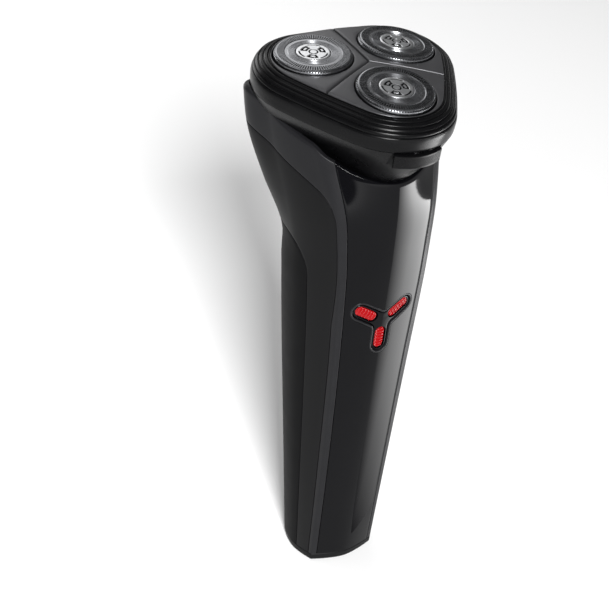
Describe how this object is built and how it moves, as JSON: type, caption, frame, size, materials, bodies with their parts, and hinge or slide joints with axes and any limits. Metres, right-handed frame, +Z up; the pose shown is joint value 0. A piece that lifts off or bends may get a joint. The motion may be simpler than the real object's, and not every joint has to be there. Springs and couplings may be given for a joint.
{
  "type": "electric shaver",
  "caption": "Rotary electric shaver with floating caps on a tilted flip-open head, a gloss front panel and a slim upright handle.",
  "frame": {"origin": "middle of the flat base that the shaver stands on", "axes": "+Z up along the handle towards the shaving head, -Y is the front with the power button, +X is the right side seen from the front"},
  "size_m": [0.0592, 0.0588, 0.1682],
  "materials": {
    "black_gloss": "polished",
    "satin_band": "satin",
    "side_plastic": "fine matt",
    "grip_rubber": "matt",
    "head_plastic": "satin",
    "head_panels": "satin metallic",
    "cap_steel": "brushed",
    "bright_steel": "polished",
    "screw_steel": "plain",
    "red_gloss": "polished",
    "inner_plastic": "moulded",
    "gear_plastic": "moulded",
    "brass_gear": "machined",
    "cell_sleeve": "shrink sleeve",
    "board_laminate": "solder mask",
    "component_black": "moulded",
    "led_clear": "clear"
  },
  "bodies": {
    "handle": {"front_panel": "black_gloss", "collar_frame": "satin_band", "rear_housing": "side_plastic", "rear_grip": "grip_rubber", "bottom_cap": "side_plastic", "button_bezel": "satin_band", "charging_socket": "component_black", "socket_pins": "bright_steel", "base_screws": "screw_steel", "chassis": "inner_plastic", "battery_cell": "cell_sleeve", "battery_contacts": "bright_steel", "circuit_board": "board_laminate", "board_components": "component_black", "tact_switch": "component_black", "indicator_led": "led_clear", "motor_can": "screw_steel", "motor_screws": "screw_steel", "gear_plate": "inner_plastic", "gearbox_screws": "screw_steel", "gear_axles": "screw_steel", "coupling_spring_1": "screw_steel", "coupling_spring_2": "screw_steel", "coupling_spring_3": "screw_steel", "spindle_seals": "grip_rubber", "hair_chamber": "head_plastic", "hinge_pin": "screw_steel", "release_spring": "screw_steel"},
    "rotor": {"motor_shaft": "screw_steel", "motor_pinion": "brass_gear"},
    "flip_head": {"head_cover": "head_plastic", "panel_carrier": "inner_plastic", "head_panel_1": "head_panels", "head_panel_2": "head_panels", "head_panel_3": "head_panels", "retaining_frame": "inner_plastic"},
    "lock": {"retaining_lock": "red_gloss"},
    "release": {"release_button": "grip_rubber"},
    "button": {"power_button": "black_gloss", "button_strips": "red_gloss"},
    "gear_1": {"drive_gear_1": "gear_plastic"},
    "coupling_1": {"drive_coupling_1": "gear_plastic"},
    "cap_1": {"shaving_cap_1": "cap_steel", "cap_disc_1": "bright_steel"},
    "cutter_1": {"cutter_1": "cap_steel"},
    "gear_2": {"drive_gear_2": "gear_plastic"},
    "coupling_2": {"drive_coupling_2": "gear_plastic"},
    "cap_2": {"shaving_cap_2": "cap_steel", "cap_disc_2": "bright_steel"},
    "cutter_2": {"cutter_2": "cap_steel"},
    "gear_3": {"drive_gear_3": "gear_plastic"},
    "coupling_3": {"drive_coupling_3": "gear_plastic"},
    "cap_3": {"shaving_cap_3": "cap_steel", "cap_disc_3": "bright_steel"},
    "cutter_3": {"cutter_3": "cap_steel"}
  },
  "joints": [
    {"name": "motor_spin", "type": "hinge", "parent": "handle", "child": "rotor", "pos_m": [0, 0.00286, 0.14834], "axis": [0, -0.1253, 0.9921], "continuous": true},
    {"name": "gear_1_spin", "type": "hinge", "parent": "handle", "child": "gear_1", "pos_m": [0, -0.01199, 0.14848], "axis": [0, -0.1253, 0.9921], "continuous": true},
    {"name": "coupling_1_slide", "type": "slide", "parent": "gear_1", "child": "coupling_1", "axis": [0, 0.1253, -0.9921], "range_m": [0, 0.0012], "deforming": ["coupling_spring_1"]},
    {"name": "cap_1_float", "type": "slide", "parent": "flip_head", "child": "cap_1", "axis": [0, 0.1942, -0.981], "range_m": [0, 0.0012], "stiffness_N_per_m": 600, "springref_m": -0.001},
    {"name": "cutter_1_spin", "type": "hinge", "parent": "cap_1", "child": "cutter_1", "pos_m": [0, -0.01346, 0.16019], "axis": [0, -0.1942, 0.981], "continuous": true},
    {"name": "gear_2_spin", "type": "hinge", "parent": "handle", "child": "gear_2", "pos_m": [0.01274, 0.0099, 0.15125], "axis": [0, -0.1253, 0.9921], "continuous": true},
    {"name": "coupling_2_slide", "type": "slide", "parent": "gear_2", "child": "coupling_2", "axis": [0, 0.1253, -0.9921], "range_m": [0, 0.0012], "deforming": ["coupling_spring_2"]},
    {"name": "cap_2_float", "type": "slide", "parent": "flip_head", "child": "cap_2", "axis": [-0.0604, 0.0904, -0.9941], "range_m": [0, 0.0012], "stiffness_N_per_m": 600, "springref_m": -0.001},
    {"name": "cutter_2_spin", "type": "hinge", "parent": "cap_2", "child": "cutter_2", "pos_m": [0.01274, 0.00842, 0.16295], "axis": [0.0604, -0.0904, 0.9941], "continuous": true},
    {"name": "gear_3_spin", "type": "hinge", "parent": "handle", "child": "gear_3", "pos_m": [-0.01274, 0.0099, 0.15125], "axis": [0, -0.1253, 0.9921], "continuous": true},
    {"name": "coupling_3_slide", "type": "slide", "parent": "gear_3", "child": "coupling_3", "axis": [0, 0.1253, -0.9921], "range_m": [0, 0.0012], "deforming": ["coupling_spring_3"]},
    {"name": "cap_3_float", "type": "slide", "parent": "flip_head", "child": "cap_3", "axis": [0.0604, 0.0904, -0.9941], "range_m": [0, 0.0012], "stiffness_N_per_m": 600, "springref_m": -0.001},
    {"name": "cutter_3_spin", "type": "hinge", "parent": "cap_3", "child": "cutter_3", "pos_m": [-0.01274, 0.00842, 0.16295], "axis": [-0.0604, -0.0904, 0.9941], "continuous": true},
    {"name": "head_open", "type": "hinge", "parent": "handle", "child": "flip_head", "pos_m": [0, 0.02695, 0.15945], "axis": [-1, 0, 0], "range_deg": [0, 95]},
    {"name": "lock_turn", "type": "hinge", "parent": "flip_head", "child": "lock", "pos_m": [0, 0.0016, 0.15826], "axis": [0, -0.1253, 0.9921], "range_deg": [0, 90]},
    {"name": "release_press", "type": "slide", "parent": "handle", "child": "release", "axis": [0, 0.9921, 0.1253], "range_m": [0, 0.001], "stiffness_N_per_m": 900, "springref_m": -0.0005, "deforming": ["release_spring"]},
    {"name": "power_press", "type": "slide", "parent": "handle", "child": "button", "axis": [0, 1, 0], "range_m": [0, 0.001], "stiffness_N_per_m": 900, "springref_m": -0.0005}
  ],
  "couplings": [
    {"joint": "gear_1_spin", "follows": "motor_spin", "ratio": -0.53846},
    {"joint": "cutter_1_spin", "follows": "motor_spin", "ratio": -0.53846},
    {"joint": "coupling_1_slide", "follows": "cap_1_float", "ratio": 1},
    {"joint": "gear_2_spin", "follows": "motor_spin", "ratio": -0.53846},
    {"joint": "cutter_2_spin", "follows": "motor_spin", "ratio": -0.53846},
    {"joint": "coupling_2_slide", "follows": "cap_2_float", "ratio": 1},
    {"joint": "gear_3_spin", "follows": "motor_spin", "ratio": -0.53846},
    {"joint": "cutter_3_spin", "follows": "motor_spin", "ratio": -0.53846},
    {"joint": "coupling_3_slide", "follows": "cap_3_float", "ratio": 1}
  ]
}
